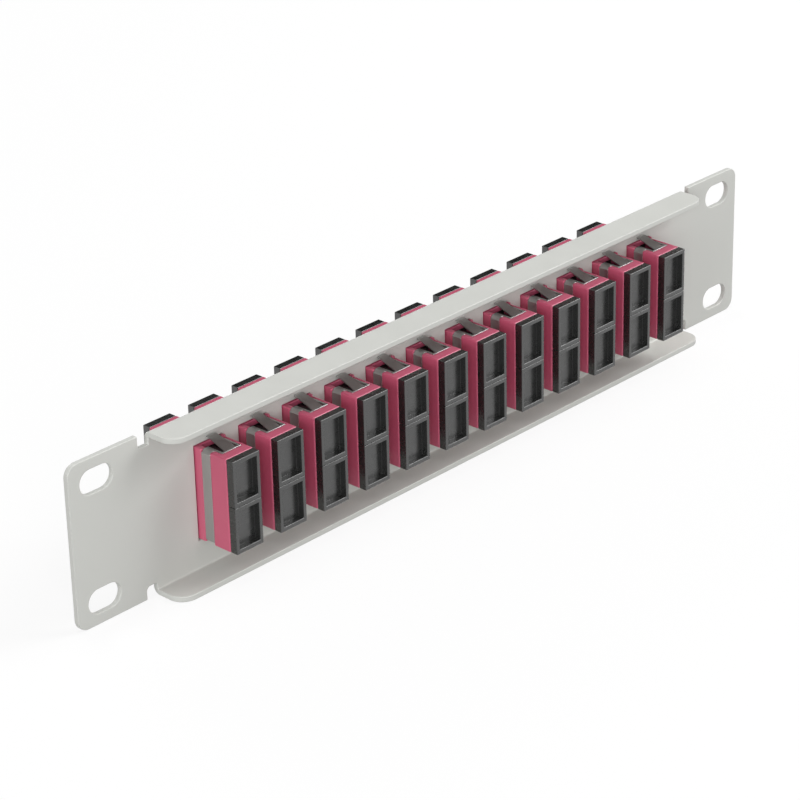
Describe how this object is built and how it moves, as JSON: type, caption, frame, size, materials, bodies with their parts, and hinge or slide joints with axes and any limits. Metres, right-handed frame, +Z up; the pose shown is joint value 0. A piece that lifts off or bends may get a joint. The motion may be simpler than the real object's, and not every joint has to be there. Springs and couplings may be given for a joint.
{
  "type": "fibre patch panel",
  "caption": "Folded steel 10 inch rack panel, one unit high, with a row of upright duplex fibre adapters held by spring clips and closed by dust caps at both ends.",
  "frame": {"origin": "centre of the rack slot pattern on the rear face, which bears on the rack", "axes": "+X along the panel, +Y to the front of the rack, +Z up"},
  "size_m": [0.254, 0.0317, 0.044],
  "materials": {
    "painted_steel": "satin",
    "housing_plastic": "satin",
    "spring_steel": "brushed",
    "cap_plastic": "matte",
    "holder_plastic": "matte",
    "ceramic": "gloss"
  },
  "bodies": {
    "panel_assembly": {"panel": "painted_steel", "adapter_housing_01": "housing_plastic", "adapter_housing_02": "housing_plastic", "adapter_housing_03": "housing_plastic", "adapter_housing_04": "housing_plastic", "adapter_housing_05": "housing_plastic", "adapter_housing_06": "housing_plastic", "adapter_housing_07": "housing_plastic", "adapter_housing_08": "housing_plastic", "adapter_housing_09": "housing_plastic", "adapter_housing_10": "housing_plastic", "adapter_housing_11": "housing_plastic", "adapter_housing_12": "housing_plastic", "spring_clip_01": "spring_steel", "spring_clip_02": "spring_steel", "spring_clip_03": "spring_steel", "spring_clip_04": "spring_steel", "spring_clip_05": "spring_steel", "spring_clip_06": "spring_steel", "spring_clip_07": "spring_steel", "spring_clip_08": "spring_steel", "spring_clip_09": "spring_steel", "spring_clip_10": "spring_steel", "spring_clip_11": "spring_steel", "spring_clip_12": "spring_steel", "sleeve_holders": "holder_plastic", "alignment_sleeves": "ceramic"},
    "rear_caps_01": {"rear_cap_pair_01": "cap_plastic"},
    "front_caps_01": {"front_cap_pair_01": "cap_plastic"},
    "rear_caps_02": {"rear_cap_pair_02": "cap_plastic"},
    "front_caps_02": {"front_cap_pair_02": "cap_plastic"},
    "rear_caps_03": {"rear_cap_pair_03": "cap_plastic"},
    "front_caps_03": {"front_cap_pair_03": "cap_plastic"},
    "rear_caps_04": {"rear_cap_pair_04": "cap_plastic"},
    "front_caps_04": {"front_cap_pair_04": "cap_plastic"},
    "rear_caps_05": {"rear_cap_pair_05": "cap_plastic"},
    "front_caps_05": {"front_cap_pair_05": "cap_plastic"},
    "rear_caps_06": {"rear_cap_pair_06": "cap_plastic"},
    "front_caps_06": {"front_cap_pair_06": "cap_plastic"},
    "rear_caps_07": {"rear_cap_pair_07": "cap_plastic"},
    "front_caps_07": {"front_cap_pair_07": "cap_plastic"},
    "rear_caps_08": {"rear_cap_pair_08": "cap_plastic"},
    "front_caps_08": {"front_cap_pair_08": "cap_plastic"},
    "rear_caps_09": {"rear_cap_pair_09": "cap_plastic"},
    "front_caps_09": {"front_cap_pair_09": "cap_plastic"},
    "rear_caps_10": {"rear_cap_pair_10": "cap_plastic"},
    "front_caps_10": {"front_cap_pair_10": "cap_plastic"},
    "rear_caps_11": {"rear_cap_pair_11": "cap_plastic"},
    "front_caps_11": {"front_cap_pair_11": "cap_plastic"},
    "rear_caps_12": {"rear_cap_pair_12": "cap_plastic"},
    "front_caps_12": {"front_cap_pair_12": "cap_plastic"}
  },
  "joints": [
    {"name": "rear_caps_01_pull", "type": "slide", "parent": "panel_assembly", "child": "rear_caps_01", "axis": [0, -1, 0], "range_m": [0, 0.006]},
    {"name": "front_caps_01_pull", "type": "slide", "parent": "panel_assembly", "child": "front_caps_01", "axis": [0, 1, 0], "range_m": [0, 0.006]},
    {"name": "rear_caps_02_pull", "type": "slide", "parent": "panel_assembly", "child": "rear_caps_02", "axis": [0, -1, 0], "range_m": [0, 0.006]},
    {"name": "front_caps_02_pull", "type": "slide", "parent": "panel_assembly", "child": "front_caps_02", "axis": [0, 1, 0], "range_m": [0, 0.006]},
    {"name": "rear_caps_03_pull", "type": "slide", "parent": "panel_assembly", "child": "rear_caps_03", "axis": [0, -1, 0], "range_m": [0, 0.006]},
    {"name": "front_caps_03_pull", "type": "slide", "parent": "panel_assembly", "child": "front_caps_03", "axis": [0, 1, 0], "range_m": [0, 0.006]},
    {"name": "rear_caps_04_pull", "type": "slide", "parent": "panel_assembly", "child": "rear_caps_04", "axis": [0, -1, 0], "range_m": [0, 0.006]},
    {"name": "front_caps_04_pull", "type": "slide", "parent": "panel_assembly", "child": "front_caps_04", "axis": [0, 1, 0], "range_m": [0, 0.006]},
    {"name": "rear_caps_05_pull", "type": "slide", "parent": "panel_assembly", "child": "rear_caps_05", "axis": [0, -1, 0], "range_m": [0, 0.006]},
    {"name": "front_caps_05_pull", "type": "slide", "parent": "panel_assembly", "child": "front_caps_05", "axis": [0, 1, 0], "range_m": [0, 0.006]},
    {"name": "rear_caps_06_pull", "type": "slide", "parent": "panel_assembly", "child": "rear_caps_06", "axis": [0, -1, 0], "range_m": [0, 0.006]},
    {"name": "front_caps_06_pull", "type": "slide", "parent": "panel_assembly", "child": "front_caps_06", "axis": [0, 1, 0], "range_m": [0, 0.006]},
    {"name": "rear_caps_07_pull", "type": "slide", "parent": "panel_assembly", "child": "rear_caps_07", "axis": [0, -1, 0], "range_m": [0, 0.006]},
    {"name": "front_caps_07_pull", "type": "slide", "parent": "panel_assembly", "child": "front_caps_07", "axis": [0, 1, 0], "range_m": [0, 0.006]},
    {"name": "rear_caps_08_pull", "type": "slide", "parent": "panel_assembly", "child": "rear_caps_08", "axis": [0, -1, 0], "range_m": [0, 0.006]},
    {"name": "front_caps_08_pull", "type": "slide", "parent": "panel_assembly", "child": "front_caps_08", "axis": [0, 1, 0], "range_m": [0, 0.006]},
    {"name": "rear_caps_09_pull", "type": "slide", "parent": "panel_assembly", "child": "rear_caps_09", "axis": [0, -1, 0], "range_m": [0, 0.006]},
    {"name": "front_caps_09_pull", "type": "slide", "parent": "panel_assembly", "child": "front_caps_09", "axis": [0, 1, 0], "range_m": [0, 0.006]},
    {"name": "rear_caps_10_pull", "type": "slide", "parent": "panel_assembly", "child": "rear_caps_10", "axis": [0, -1, 0], "range_m": [0, 0.006]},
    {"name": "front_caps_10_pull", "type": "slide", "parent": "panel_assembly", "child": "front_caps_10", "axis": [0, 1, 0], "range_m": [0, 0.006]},
    {"name": "rear_caps_11_pull", "type": "slide", "parent": "panel_assembly", "child": "rear_caps_11", "axis": [0, -1, 0], "range_m": [0, 0.006]},
    {"name": "front_caps_11_pull", "type": "slide", "parent": "panel_assembly", "child": "front_caps_11", "axis": [0, 1, 0], "range_m": [0, 0.006]},
    {"name": "rear_caps_12_pull", "type": "slide", "parent": "panel_assembly", "child": "rear_caps_12", "axis": [0, -1, 0], "range_m": [0, 0.006]},
    {"name": "front_caps_12_pull", "type": "slide", "parent": "panel_assembly", "child": "front_caps_12", "axis": [0, 1, 0], "range_m": [0, 0.006]}
  ]
}
